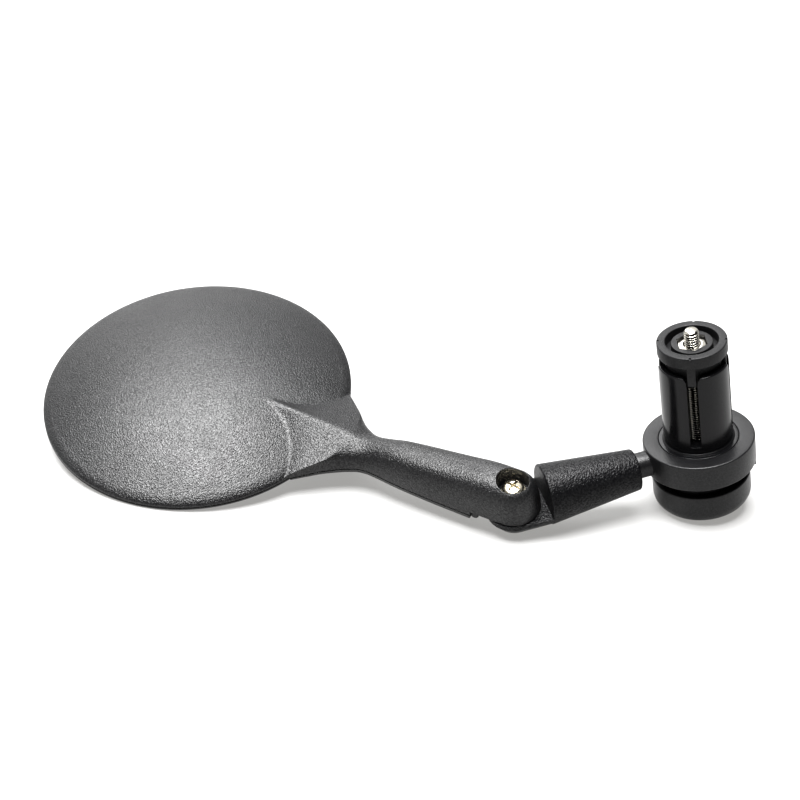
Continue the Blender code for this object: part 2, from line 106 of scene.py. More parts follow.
def tidy(obj, sharp=33.0, weld=0.0000012):
    bm = bmesh.new()
    bm.from_mesh(obj.data)
    bmesh.ops.remove_doubles(bm, verts=bm.verts, dist=weld)
    bmesh.ops.dissolve_degenerate(bm, edges=bm.edges, dist=weld)
    bmesh.ops.recalc_face_normals(bm, faces=bm.faces)
    bm.to_mesh(obj.data)
    bm.free()
    shade(obj, sharp)


def shade(obj, sharp=33.0):
    obj.data.shade_smooth()
    obj.data.set_sharp_from_angle(angle=math.radians(sharp))


def rounded(points, closed=True, segments=5):
    """A profile of (r, z, fillet) with its corners rounded by arcs of that radius."""
    n = len(points)
    out = []
    for i, p in enumerate(points):
        f = p[2] if len(p) > 2 else 0.0
        if f <= 0 or (not closed and i in (0, n - 1)):
            out.append((p[0], p[1]))
            continue
        b = Vector((p[0], p[1]))
        a = Vector(points[i - 1][:2]) - b
        c = Vector(points[(i + 1) % n][:2]) - b
        la, lc = a.length, c.length
        a.normalize()
        c.normalize()
        half = a.angle(c) / 2
        reach = min(f / math.tan(half), la * 0.48, lc * 0.48)
        radius = reach * math.tan(half)
        centre = b + (a + c).normalized() * (radius / math.sin(half))
        start, end = b + a * reach - centre, b + c * reach - centre
        sweep = start.angle_signed(end)
        k = max(2, int(segments * abs(sweep) / (math.pi / 2) + 0.5))
        base = math.atan2(start.y, start.x)
        for j in range(k + 1):
            t = base - sweep * j / k
            out.append((centre.x + radius * math.cos(t), centre.y + radius * math.sin(t)))
    return out


def revolve(name, profile, steps=128, at=PLUG, sharp=33.0, wobble=None):
    """A turned solid. A profile that starts and ends on the axis is a solid of revolution;
    any other is closed into a ring. wobble(r, z, angle) may return a new (r, z)."""
    ring = profile[0][0] > 1e-9 or profile[-1][0] > 1e-9
    verts, faces = [], []
    n = len(profile)
    for i in range(steps):
        a = TAU * i / steps
        for r, z in profile:
            if wobble:
                r, z = wobble(r, z, a)
            verts.append((r * math.cos(a), r * math.sin(a), z))
    spans = n if ring else n - 1
    for i in range(steps):
        j = (i + 1) % steps
        for k in range(spans):
            l = (k + 1) % n
            faces.append((i * n + k, j * n + k, j * n + l, i * n + l))
    return mesh_object(name, verts, faces, at, sharp)


def loft(name, sections, at=PLUG, sharp=33.0):
    verts, faces = [], []
    n = len(sections[0])
    for s in sections:
        verts += list(s)
    for i in range(len(sections) - 1):
        for k in range(n):
            l = (k + 1) % n
            faces.append((i * n + k, i * n + l, (i + 1) * n + l, (i + 1) * n + k))
    faces.append(tuple(range(n)))
    faces.append(tuple((len(sections) - 1) * n + k for k in reversed(range(n))))
    return mesh_object(name, verts, faces, at, sharp)


def hull(name, points, at=PLUG, sharp=33.0):
    bm = bmesh.new()
    m = at
    for p in points:
        bm.verts.new((m @ Vector(p)) * MM)
    found = bmesh.ops.convex_hull(bm, input=bm.verts)
    loose = [g for g in set(found["geom_interior"]) | set(found["geom_unused"]) if isinstance(g, bmesh.types.BMVert)]
    bmesh.ops.delete(bm, geom=loose, context="VERTS")
    bmesh.ops.dissolve_limit(bm, angle_limit=0.002, verts=bm.verts, edges=bm.edges)
    mesh = bpy.data.meshes.new(name)
    bm.to_mesh(mesh)
    bm.free()
    obj = bpy.data.objects.new(name, mesh)
    scene.collection.objects.link(obj)
    tidy(obj, sharp)
    return obj


def prism(name, sides, radius, low, high, at=PLUG, phase=0.0):
    a = [phase + TAU * i / sides for i in range(sides)]
    verts = [(radius * math.cos(t), radius * math.sin(t), z) for z in (low, high) for t in a]
    faces = [tuple(reversed(range(sides))), tuple(range(sides, 2 * sides))]
    faces += [(i, (i + 1) % sides, sides + (i + 1) % sides, sides + i) for i in range(sides)]
    return mesh_object(name, verts, faces, at)


def box(name, low, high, at=PLUG, bevel=0.0, pick=None, segments=4):
    bm = bmesh.new()
    bmesh.ops.create_cube(bm, size=1.0)
    low, high = Vector(low), Vector(high)
    for v in bm.verts:
        v.co = Vector([low[i] + (v.co[i] + 0.5) * (high[i] - low[i]) for i in range(3)])
    if bevel:
        edges = [e for e in bm.edges if pick is None or pick((e.verts[0].co + e.verts[1].co) / 2, (e.verts[1].co - e.verts[0].co).normalized())]
        bmesh.ops.bevel(bm, geom=edges, offset=bevel, segments=segments, affect="EDGES", profile=0.5)
    for v in bm.verts:
        v.co = (at @ v.co) * MM
    bmesh.ops.recalc_face_normals(bm, faces=bm.faces)
    mesh = bpy.data.meshes.new(name)
    bm.to_mesh(mesh)
    bm.free()
    obj = bpy.data.objects.new(name, mesh)
    scene.collection.objects.link(obj)
    return obj


def combine(obj, tools, operation="DIFFERENCE", solver="MANIFOLD", sharp=33.0):
    """Cuts or joins and keeps the result as the object's own mesh."""
    for tool in tools:
        mod = obj.modifiers.new("cut", "BOOLEAN")
        mod.operation, mod.solver, mod.object = operation, solver, tool
        bpy.context.view_layer.update()
        graph = bpy.context.evaluated_depsgraph_get()
        mesh = bpy.data.meshes.new_from_object(obj.evaluated_get(graph), depsgraph=graph)
        obj.modifiers.clear()
        old, obj.data = obj.data, mesh
        bpy.data.meshes.remove(old)
        bpy.data.objects.remove(tool)
    tidy(obj, sharp)
    return obj


def along(table, x):
    xs = [p[0] for p in table]
    ys = [p[1] for p in table]
    if x <= xs[0]:
        return ys[0]
    if x >= xs[-1]:
        return ys[-1]
    slopes = [(ys[i + 1] - ys[i]) / (xs[i + 1] - xs[i]) for i in range(len(xs) - 1)]
    grads = [slopes[0]]
    for s0, s1 in zip(slopes, slopes[1:]):
        grads.append(0.0 if s0 * s1 <= 0 else 2 * s0 * s1 / (s0 + s1))
    grads.append(slopes[-1])
    i = max(k for k in range(len(xs) - 1) if xs[k] <= x)
    h = xs[i + 1] - xs[i]
    t = (x - xs[i]) / h
    return (
        (2 * t**3 - 3 * t**2 + 1) * ys[i]
        + (t**3 - 2 * t**2 + t) * h * grads[i]
        + (-2 * t**3 + 3 * t**2) * ys[i + 1]
        + (t**3 - t**2) * h * grads[i + 1]
    )


def smooth_min(a, b, k):
    h = max(k - abs(a - b), 0.0) / k
    return min(a, b) - h * h * k / 4


def smooth_max(a, b, k):
    return -smooth_min(-a, -b, k)


def hex_nut(name, af, low, high, hole, at, phase=0.0):
    """Hexagon nut with chamfered corners and a plain bore countersunk at both ends."""
    nut = prism(name, 6, af / 2 / math.cos(math.pi / 6), low, high, at, phase)
    corner = af / 2 / math.cos(math.pi / 6)
    drop = (corner - af / 2 * 0.96) * 0.55
    chamfer = revolve(
        "chamfer",
        [(0, high), (af / 2 * 0.96, high), (corner + 0.05, high - drop), (corner + 0.05, low + drop), (af / 2 * 0.96, low), (0, low)],
        96,
        at,
    )
    combine(nut, [chamfer], "INTERSECT")
    mouth = revolve(
        "mouth",
        [(0, high + 1), (hole + 1.35, high + 1), (hole + 0.0, high - 0.35), (hole, low + 0.35), (hole + 1.35, low - 1), (0, low - 1)],
        64,
        at,
    )
    combine(nut, [mouth])
    return nut


def threaded_rod(name, top, bottom, head=(), at=PLUG, tip=0.9, steps=40, thread_to=None):
    """A screw: a helical thread from `top` down to thread_to, a plain shank, then a head
    profile of (r, z) that ends on the axis."""
    thread_to = bottom if thread_to is None else thread_to
    rows = []
    z = top
    step = BOLT_PITCH / 10
    while z > thread_to:
        rows.append(z)
        z -= step
    verts, faces = [(0, 0, top)], []
    depth = BOLT_R - BOLT_ROOT_R
    for z in rows:
        fade = min(1.0, (z - thread_to) / 1.2)
        lead = min(1.0, (top - z) / tip)
        for i in range(steps):
            a = TAU * i / steps
            phase = (z / BOLT_PITCH - i / steps) % 1.0
            tri = 1 - abs(2 * phase - 1)
            crest = min(1.0, max(0.0, (tri - 0.20) / 0.62))
            r = BOLT_ROOT_R + depth * (crest * fade + (1 - fade))
            r = min(r, 0.72 * BOLT_R + 0.28 * BOLT_R * lead ** 0.6)
            verts.append((r * math.cos(a), r * math.sin(a), z))
    for r, z in head:
        for i in range(steps):
            a = TAU * i / steps
            verts.append((max(r, 0.0) * math.cos(a), max(r, 0.0) * math.sin(a), z))
    count = (len(verts) - 1) // steps
    for i in range(steps):
        faces.append((0, 1 + i, 1 + (i + 1) % steps))
    for k in range(count - 1):
        for i in range(steps):
            j = (i + 1) % steps
            faces.append((1 + k * steps + i, 1 + (k + 1) * steps + i, 1 + (k + 1) * steps + j, 1 + k * steps + j))
    last = 1 + (count - 1) * steps
    faces.append(tuple(last + i for i in reversed(range(steps))))
    return mesh_object(name, verts, faces, at, 40)


# ------------------------------------------------------------------ materials
class Nodes:
    def __init__(self, name):
        self.mat = bpy.data.materials.new(name)
        self.mat.use_nodes = True
        self.tree = self.mat.node_tree
        self.bsdf = self.tree.nodes["Principled BSDF"]
        self.coord = self.add("ShaderNodeTexCoord")

    def add(self, kind, **settings):
        node = self.tree.nodes.new(kind)
        for key, value in settings.items():
            if key in node.inputs.keys():
                node.inputs[key].default_value = value
            else:
                setattr(node, key, value)
        return node

    def link(self, a, b):
        self.tree.links.new(a, b)

    def noise(self, scale, detail=3.0, rough=0.55, distortion=0.0, stretch=None):
        node = self.add("ShaderNodeTexNoise", Scale=scale, Detail=detail, Roughness=rough, Distortion=distortion)
        if stretch:
            m = self.add("ShaderNodeMapping")
            m.inputs["Scale"].default_value = stretch
            self.link(self.coord.outputs["Object"], m.inputs["Vector"])
            self.link(m.outputs["Vector"], node.inputs["Vector"])
        else:
            self.link(self.coord.outputs["Object"], node.inputs["Vector"])
        return node.outputs["Fac"]

    def voronoi(self, scale, feature="SMOOTH_F1", smooth=0.6):
        node = self.add("ShaderNodeTexVoronoi", feature=feature)
        node.inputs["Scale"].default_value = scale
        if feature == "SMOOTH_F1":
            node.inputs["Smoothness"].default_value = smooth
        self.link(self.coord.outputs["Object"], node.inputs["Vector"])
        return node.outputs["Distance"]

    def math(self, op, a, b=None, c=None, clamp=False):
        node = self.add("ShaderNodeMath", operation=op, use_clamp=clamp)
        for k, v in enumerate((a, b, c)):
            if v is None:
                continue
            if isinstance(v, (int, float)):
                node.inputs[k].default_value = v
            else:
                self.link(v, node.inputs[k])
        return node.outputs[0]

    def ramp(self, value, stops):
        node = self.add("ShaderNodeValToRGB")
        self.link(value, node.inputs["Fac"])
        ramp = node.color_ramp
        while len(ramp.elements) < len(stops):
            ramp.elements.new(0.5)
        for element, (pos, colour) in zip(ramp.elements, stops):
            element.position = pos
            element.color = (*colour, 1.0) if len(colour) == 3 else colour
        return node.outputs["Color"]

    def spread(self, value, low, high, from_low=0.3, from_high=0.7):
        node = self.add("ShaderNodeMapRange", clamp=True)
        self.link(value, node.inputs["Value"])
        node.inputs["From Min"].default_value = from_low
        node.inputs["From Max"].default_value = from_high
        node.inputs["To Min"].default_value = low
        node.inputs["To Max"].default_value = high
        return node.outputs["Result"]

    def bump(self, height, distance, strength=1.0, normal=None):
        node = self.add("ShaderNodeBump")
        node.inputs["Distance"].default_value = distance
        node.inputs["Strength"].default_value = strength
        self.link(height, node.inputs["Height"])
        if normal is not None:
            self.link(normal, node.inputs["Normal"])
        return node.outputs["Normal"]

    def bevel(self, radius, samples=6):
        node = self.add("ShaderNodeBevel", samples=samples)
        node.inputs["Radius"].default_value = radius
        return node.outputs["Normal"]


def moulded(name, colour, roughness, grain=0.6, depth=0.03, wave=0.0, edge=0.00018, speck=0.25, spec=0.5, wear=0.5, sparkle=1.0, coarse=None):
    """Moulded plastic: a fine pebble grain, a slow unevenness of the surface, edges a touch
    rounded and rubbed lighter, and faint dust. coarse is (centre, radius, gain) of the part
    that keeps the fine grain: outside it the grain is deeper."""
    n = Nodes(name)
    broad = n.noise(45, 3.0, 0.5)
    fine = n.noise(1000 / grain, 2.0, 0.6)
    pebble = n.voronoi(1200 / grain, "F1")
    height = n.math("ADD", n.math("MULTIPLY", pebble, -0.45), n.math("MULTIPLY", fine, 1.2))
    if coarse:
        centre, radius, gain = coarse
        far = n.add("ShaderNodeVectorMath", operation="DISTANCE")
        n.link(n.coord.outputs["Object"], far.inputs[0])
        far.inputs[1].default_value = centre
        outer = n.spread(far.outputs["Value"], 0.0, 1.0, radius - 0.0015, radius + 0.0015)
        bold = n.noise(1000 / grain * 0.62, 2.0, 0.6)
        height = n.math("ADD", height, n.math("MULTIPLY", n.math("MULTIPLY", bold, outer), gain))
    normal = n.bevel(edge)
    if wave:
        normal = n.bump(n.noise(260, 2.0, 0.5), wave * MM, 1.0, normal)
    normal = n.bump(height, depth * MM, 1.0, normal)
    n.link(normal, n.bsdf.inputs["Normal"])
    geometry = n.add("ShaderNodeNewGeometry")
    rub = n.spread(geometry.outputs["Pointiness"], 0.0, 1.0, 0.505, 0.56)
    rub = n.math("MULTIPLY", rub, n.spread(n.noise(700, 4.0, 0.7), 0.0, 1.0, 0.35, 0.65))
    tone = n.ramp(broad, [(0.3, [c * 0.86 for c in colour]), (0.7, [min(1.0, c * 1.16) for c in colour])])
    mix = n.add("ShaderNodeMix", data_type="RGBA")
    n.link(n.math("MULTIPLY", rub, 0.35 * wear), mix.inputs["Factor"])
    n.link(tone, mix.inputs[6])
    mix.inputs[7].default_value = (*[min(1.0, c * 2.6 + 0.012) for c in colour], 1.0)
    n.link(n.math("MULTIPLY", n.spread(fine, 1.0 - 0.55 * sparkle, 1.0 + 0.7 * sparkle, 0.36, 0.64), spec), n.bsdf.inputs["Specular IOR Level"])
    dust = n.math("GREATER_THAN", n.noise(2600, 1.0, 0.4), 0.78)
    dusty = n.add("ShaderNodeMix", data_type="RGBA")
    n.link(n.math("MULTIPLY", dust, speck), dusty.inputs["Factor"])
    n.link(mix.outputs[2], dusty.inputs[6])
    dusty.inputs[7].default_value = (0.10, 0.10, 0.095, 1.0)
    n.link(dusty.outputs[2], n.bsdf.inputs["Base Color"])
    rough = n.math("ADD", n.spread(n.noise(120, 4.0, 0.6), roughness - 0.05, roughness + 0.06), n.math("MULTIPLY", fine, 0.08))
    n.link(n.math("SUBTRACT", rough, n.math("MULTIPLY", rub, 0.06)), n.bsdf.inputs["Roughness"])
    return n.mat


def steel(name, colour, roughness, scratch=0.006, edge=0.00005, hollow_darkening=0.8):
    """Plated steel: fine drawn scratches, patchy sheen, and hollows mixed towards a dark brown and made rougher."""
    n = Nodes(name)
    lines = n.noise(900, 3.0, 0.7, 0.0, (1.0, 1.0, 14.0))
    patch = n.noise(600, 3.0, 0.6)
    normal = n.bump(n.math("ADD", lines, n.math("MULTIPLY", patch, 0.6)), scratch * MM, 0.8, n.bevel(edge))
    n.link(normal, n.bsdf.inputs["Normal"])
    geometry = n.add("ShaderNodeNewGeometry")
    # Concave places, found by pointiness, are darkened towards brown and made rougher.
    hollow = n.spread(geometry.outputs["Pointiness"], 1.0, 0.0, 0.40, 0.50)
    mix = n.add("ShaderNodeMix", data_type="RGBA")
    n.link(n.math("MULTIPLY", hollow, hollow_darkening), mix.inputs["Factor"])
    n.link(n.ramp(patch, [(0.3, [c * 0.9 for c in colour]), (0.7, [min(1.0, c * 1.06) for c in colour])]), mix.inputs[6])
    mix.inputs[7].default_value = (0.10, 0.085, 0.06, 1.0)
    n.link(mix.outputs[2], n.bsdf.inputs["Base Color"])
    n.bsdf.inputs["Metallic"].default_value = 1.0
    n.link(n.math("ADD", n.spread(patch, roughness - 0.04, roughness + 0.07), n.math("MULTIPLY", hollow, 0.15)), n.bsdf.inputs["Roughness"])
    return n.mat


def silvered(name):
    """Mirror glass: a clean silvered face with the faintest smears."""
    n = Nodes(name)
    smear = n.noise(60, 5.0, 0.65, 1.5)
    n.link(n.spread(smear, 0.015, 0.055, 0.45, 0.75), n.bsdf.inputs["Roughness"])
    n.link(n.ramp(smear, [(0.3, (0.86, 0.88, 0.90)), (0.8, (0.80, 0.82, 0.83))]), n.bsdf.inputs["Base Color"])
    n.bsdf.inputs["Metallic"].default_value = 1.0
    n.bsdf.inputs["Coat Weight"].default_value = 0.4
    n.bsdf.inputs["Coat Roughness"].default_value = 0.02
    return n.mat


def foam(name):
    n = Nodes(name)
    cells = n.voronoi(1500, "F1")
    n.link(n.bump(cells, 0.12 * MM, 1.0), n.bsdf.inputs["Normal"])
    n.link(n.ramp(cells, [(0.0, (0.05, 0.05, 0.055)), (0.6, (0.19, 0.19, 0.20))]), n.bsdf.inputs["Base Color"])
    n.bsdf.inputs["Roughness"].default_value = 0.95
    return n.mat


HOUSING = moulded("housing_grain", (0.0062, 0.0062, 0.0066), 0.31, grain=0.42, depth=0.125, wave=0.006, spec=0.40, sparkle=0.75, coarse=((HEAD @ Vector((0, 0, 0))) * MM, 0.0405, 1.0))
LINKGRAIN = moulded("link_grain", (0.003, 0.003, 0.0035), 0.29, grain=0.52, depth=0.17, wave=0.010, spec=0.175)
SATIN = moulded("satin_black", (0.0065, 0.0065, 0.007), 0.30, grain=0.32, depth=0.028, edge=0.00022, spec=0.31, wear=0.15, sparkle=0.4)
GLOSS = moulded("gloss_black", (0.003, 0.003, 0.0035), 0.16, grain=0.5, depth=0.004, wave=0.006, edge=0.00015, speck=0.1, spec=0.25, wear=0.3, sparkle=0.08)
STRIP = moulded("strip_black", (0.009, 0.009, 0.009), 0.26, grain=0.3, depth=0.006, wave=0.004, edge=0.0002, spec=0.5, sparkle=0.2)
NYLON = moulded("nylon_dark", (0.006, 0.006, 0.0065), 0.40, grain=0.3, depth=0.024, edge=0.00018, spec=0.26, wear=0.3, sparkle=0.35)
STEEL = steel("bright_steel", (0.56, 0.54, 0.49), 0.20)
SCREW = steel("screw_steel", (0.74, 0.69, 0.56), 0.15, hollow_darkening=0.85)
# Near-black steel for the bolt's thread roots: painted shade in the grooves, not a colour of the steel itself.
THREAD_ROOT_SHADE = steel("thread_root_painted_shade", (0.022, 0.019, 0.015), 0.42, hollow_darkening=0.9)
MIRROR = silvered("mirror_face")
FOAM = foam("foam_grey")


def finish(obj, mat, body, *nodes):
    obj.data.materials.clear()
    obj.data.materials.append(mat)
    if body:
        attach(obj, body)
    if nodes:
        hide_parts(*nodes)
    return obj


# -------------------------------------------------------------- mirror housing
ARM_HEIGHT = [(0, 8.0), (4, 8.0), (8, 7.7), (12.6, 7.0), (18.9, 6.1), (26.8, 5.25), (33.5, 4.5), (38, 3.5), (41, 2.85), (43, 2.62), (45, 2.65), (48, 3.4), (58, 5.0), (80, 7.0)]
ARM_HALF = [(0, 6.9), (8, 6.9), (12.6, 6.8), (18.9, 6.65), (26.8, 6.3), (33.5, 5.8), (38, 5.3), (41, 5.1), (43, 5.3), (46, 6.5), (49, 8.3), (52, 10.5), (55, 13.2), (58.3, 16.2)]
ARM_POWER = [(0, 3.0), (8, 2.95), (12.6, 2.85), (18.9, 2.7), (26.8, 2.5), (33.5, 2.3), (38, 2.1), (43, 1.9), (48, 1.8), (49.5, 2.2), (51, 3.4), (53, 5.0), (60, 6.0)]
RIDGE = [(43, 2.5), (45, 2.5), (48.4, 2.93), (53, 3.35), (58, 3.65), (63.7, 3.98), (70, 4.38), (75.5, 4.95)]
MELD = [(36, 0.4), (42, 1.0), (47, 1.0), (52, 0.5), (58, 0.4)]
ROOF_FALL = [(49, 0.30), (52, 0.325), (58, 0.375), (63, 0.45), (66, 0.51), (70, 0.5), (76, 0.5)]


def rim_half(x):
    return math.sqrt(max(0.0, HEAD_R**2 - (HEAD_X - x) ** 2))


def plan_half(x):
    if x <= 0:
        return math.sqrt(max(0.0, KNUCKLE_R**2 - x * x))
    if x <= 58.3:
        return max(along(ARM_HALF, x), rim_half(x))
    return max(rim_half(x), 16.2 if x < 58.6 else 0.0)


def dome_height(r):
    if r > HEAD_R + 1e-6:
        return -50.0
    z = HEAD_TOP - HEAD_CURVE * min(r, 39.7) ** 2
    if r > 39.7:
        u = min(1.0, (r - 39.7) / (HEAD_R - 39.7))
        z += 0.77 * (math.sqrt(1 - u**1.7) - 1) - 0.452 * (r - 39.7)
    return z


LAP_CUT = -2.3


def shell_rows():
    xs = [-KNUCKLE_R * math.cos(math.radians(a)) for a in np.linspace(0, 90, 26)]
    xs += sorted(list(np.linspace(0, 40, 45)[1:]) + [STEP_X - 0.02, STEP_X + 0.02]) + list(np.linspace(40, 58, 50)[1:]) + list(np.linspace(58, 60.5, 14)[1:])
    xs += list(np.linspace(60.5, 78, 38)[1:]) + list(np.linspace(78, 122, 44)[1:])
    start = math.asin((122 - HEAD_X) / HEAD_R)
    xs += [HEAD_X + HEAD_R * math.sin(a) for a in np.linspace(start, math.pi / 2, 60)[1:]]
    across = [math.sin(math.pi / 2 * t) for t in np.linspace(-1, 1, 173)]
    rows = []
    for x in xs:
        half = plan_half(x)
        arm_half = along(ARM_HALF, x)
        power, rise = along(ARM_POWER, x), along(ARM_HEIGHT, x) - ARM_BELLY
        ridge, fall = along(RIDGE, x), along(ROOF_FALL, x)
        lift = 0.07 * max(0.0, 45.0 - x) ** 2
        step = 0.28 * min(1.0, max(0.0, (x - 58.0) / 8.0))
        row = []
        for s in across:
            y = s * half
            if x < 0:
                q = min(1.0, math.hypot(x, y) / KNUCKLE_R)
                z = ARM_BELLY + rise * (1 - q**3) ** (1 / 3)
            else:
                q = min(1.0, abs(y) / arm_half)
                z = ARM_BELLY + rise * (1 - q**power) ** (1 / power)
                if x > 36:
                    top = ridge - fall * (math.sqrt(y * y + 0.5) - math.sqrt(0.5)) - step * (1 - math.exp(-y * y / 1.6)) + lift
                    if x > 58.3:
                        z = top
                    else:
                        z = max(smooth_min(z, top, along(MELD, x)), ARM_BELLY)
                if x > 55:
                    r = math.hypot(HEAD_X - x, y)
                    z = smooth_max(z if x < 80 else -50.0, dome_height(r), 0.1)
                    if r > HEAD_R - 0.02 and x > 58.6:
                        z = dome_height(HEAD_R)
            if x < STEP_X:
                z = max(z, LAP_CUT + 0.02)
            row.append((x, y, z))
        rows.append(row)
    return rows


rows = shell_rows()
across_n = len(rows[0])
verts = [p for row in rows for p in row]
faces = []
for i in range(len(rows) - 1):
    for k in range(across_n - 1):
        faces.append((i * across_n + k, i * across_n + k + 1, (i + 1) * across_n + k + 1, (i + 1) * across_n + k))
base = len(verts)
for row in rows:
    under = LAP_CUT if row[0][0] < STEP_X else ARM_UNDER
    verts.append((row[0][0], row[0][1], under))
    verts.append((row[-1][0], row[-1][1], under))
for i in range(len(rows) - 1):
    a, b, c, d = base + 2 * i, base + 2 * i + 1, base + 2 * i + 3, base + 2 * i + 2
    faces.append((a, b, c, d))
    faces.append((i * across_n, (i + 1) * across_n, d, a))
    faces.append((i * across_n + across_n - 1, b, c, (i + 1) * across_n + across_n - 1))
for e in (0, len(rows) - 1):
    faces.append(tuple(e * across_n + k for k in range(across_n)) + (base + 2 * e + 1, base + 2 * e))
housing = mesh_object("housing_shell", verts, faces, ARM)
cavity = [(0, 5.9)] + [(r, 5.9 - 0.00548 * r * r) for r in (4, 8, 12, 16, 20, 24, 28, 31, 34, 36, 38, 39.4)] + [(39.4, -9.0), (0, -9.0)]
combine(
    housing,
    [
        revolve("cavity", cavity, 160, HEAD),
        box("lap_step", (-30, -30, -21), (STEP_X, 30, -2.3), ARM),
        revolve("counterbore", rounded([(0, 20), (4.3, 20), (4.3, PIN_FLOOR), (0, PIN_FLOOR)], closed=False), 96, ARM),
        revolve("screw_hole", [(0, 10), (PIN_HOLE_R, 10), (PIN_HOLE_R, -10), (0, -10)], 64, ARM),
    ],
    sharp=38,
)
finish(housing, HOUSING, "head", "mirror_housing")

# ------------------------------------------------- bezel with its tail and hook
bezel = revolve(
    "bezel_ring",
    rounded(
        [
            (39.1, -2.85, 0.1), (39.1, -3.8, 0), (HEAD_R, -3.8, 0.1), (HEAD_R, FACE_Z, 0.42), (36.8, FACE_Z, 0.3),
            (36.55, -3.8, 0), (38.25, -3.8, 0), (38.25, -2.85, 0.1),
        ]
    ),
    288,
    HEAD,
)
TAIL_TOP = ARM_UNDER - 0.3
TAIL_LOW = [(10, -5.05), (46, -5.0), (56, -4.6), (61, -4.46)]
sections = []
for x in [STEP_X + 0.3] + list(np.linspace(10.5, 44, 40)) + list(np.linspace(44.4, 59.8, 46)):
    half = along(ARM_HALF, x)
    if x > 58.2:
        half = min(half, rim_half(x) - 0.3)
    low = along(TAIL_LOW, x)
    ring = [(x, half, TAIL_TOP), (x, -half, TAIL_TOP)]
    for a in np.linspace(180, 270, 6):
        ring.append((x, -half + 0.5 + 0.5 * math.cos(math.radians(a)), low + 0.5 + 0.5 * math.sin(math.radians(a))))
    for a in np.linspace(270, 360, 6):
        ring.append((x, half - 0.5 + 0.5 * math.cos(math.radians(a)), low + 0.5 + 0.5 * math.sin(math.radians(a))))
    sections.append(ring)
tail = loft("tail", sections, ARM)
hook_at = ARM @ shift(STEP_X - 0.35, 0, -4.75) @ turn(90, "X")
hook = revolve("hook", rounded([(0, 5.4), (1.2, 5.4, 0.35), (1.2, -5.4, 0.35), (0, -5.4)], closed=False), 40, hook_at)
combine(bezel, [tail, hook], "UNION")
finish(bezel, STRIP, "head", "front_bezel")

# ------------------------------------------------------------- glass and pad
def bulge(r, z):
    return z - GLASS_SAG * (1 - (r / GLASS_R) ** 2)


steps = list(np.linspace(0, GLASS_R - 0.25, 26))
glass = revolve(
    "glass_disc",
    [(r, bulge(r, -3.5 + GLASS_T)) for r in steps] + [(GLASS_R, -2.3), (GLASS_R, -3.3)] + [(r, bulge(r, -3.5)) for r in reversed(steps)],
    224,
    HEAD,
    30,
)
finish(glass, MIRROR, "head", "mirror_glass")
pad_r = list(np.linspace(0, 31.4, 12))
pad = revolve(
    "foam_pad",
    [(0, -0.1), (31.2, -0.1), (31.8, -0.3), (32.0, -0.7)] + [(r, bulge(r, -3.5 + GLASS_T + 0.3)) for r in reversed(pad_r)],
    128,
    HEAD,
)
finish(pad, FOAM, "head", "glass_pad")

# -------------------------------------------------------------- elbow fastener
F = PIN_FLOOR
washer = revolve(
    "elbow_washer_disc",
    rounded([(3.5, F + 1.0, 0.15), (3.5, F + 0.3, 0.1), (PIN_HOLE_R, F + 0.3, 0.1), (PIN_HOLE_R, F + 1.0, 0.1)]), 96, ARM,
)
finish(washer, SCREW, "head", "elbow_washer")
pan = [(PIN_R, F + 1.3), (2.7, F + 1.3), (2.85, F + 1.45), (2.85, F + 2.35)]
pan += [(2.85 * math.cos(t) ** 0.8, F + 2.35 + 0.95 * math.sin(t)) for t in np.linspace(0, math.pi / 2, 16)[1:-1]] + [(0, F + 3.3)]
screw = revolve(
    "elbow_screw_body",
    [(r, z) for r, z in reversed(pan)]
    + [(PIN_R, F + 1.0), (PIN_R, -3.0)]
    + [(PIN_ROOT_R if k % 2 else PIN_R, -3.0 - 0.25 * k) for k in range(1, 18)]
    + [(1.1, -7.6), (0.9, -7.8), (0, -7.8)],
    72,
    ELBOW,
    40,
)
cross = []
for k in (0, 1):
    at = ELBOW @ turn(35 + 90 * k, "Z")
    cross.append(
        hull(
            "recess",
            [(x, y, F + 4.2) for x in (-2.75, 2.75) for y in (-0.42, 0.42)]
            + [(x, y, F + 2.2) for x in (-1.3, 1.3) for y in (-0.30, 0.30)],
            at,
        )
    )
cross.append(revolve("recess_core", [(0, F + 4.2), (0.85, F + 4.2), (0.35, F + 1.8), (0, F + 1.6)], 32, ELBOW))
combine(screw, cross, solver="EXACT", sharp=36)
finish(screw, SCREW, "link", "elbow_screw")
finish(hex_nut("elbow_nut_body", PIN_NUT_AF, -7.0, -4.6, PIN_R + 0.2, ELBOW), STEEL, "link", "elbow_nut")

# -------------------------------------------------------------------- link arm
link_axis = LINK @ shift(0, 0, LINK_DROP) @ turn(90, "Y")
link = revolve(
    "link_body",
    rounded(
        [(0, LINK_NEAR), (LINK_R_NEAR, LINK_NEAR, 0.55), (LINK_R_FAR, LINK_FAR, 0.55), (0, LINK_FAR)], closed=False, segments=7
    ),
    224,
    link_axis,
)


def ring_points(radius, z, count=140, x=0.0):
    return [(x + radius * math.cos(TAU * i / count), radius * math.sin(TAU * i / count), z) for i in range(count)]


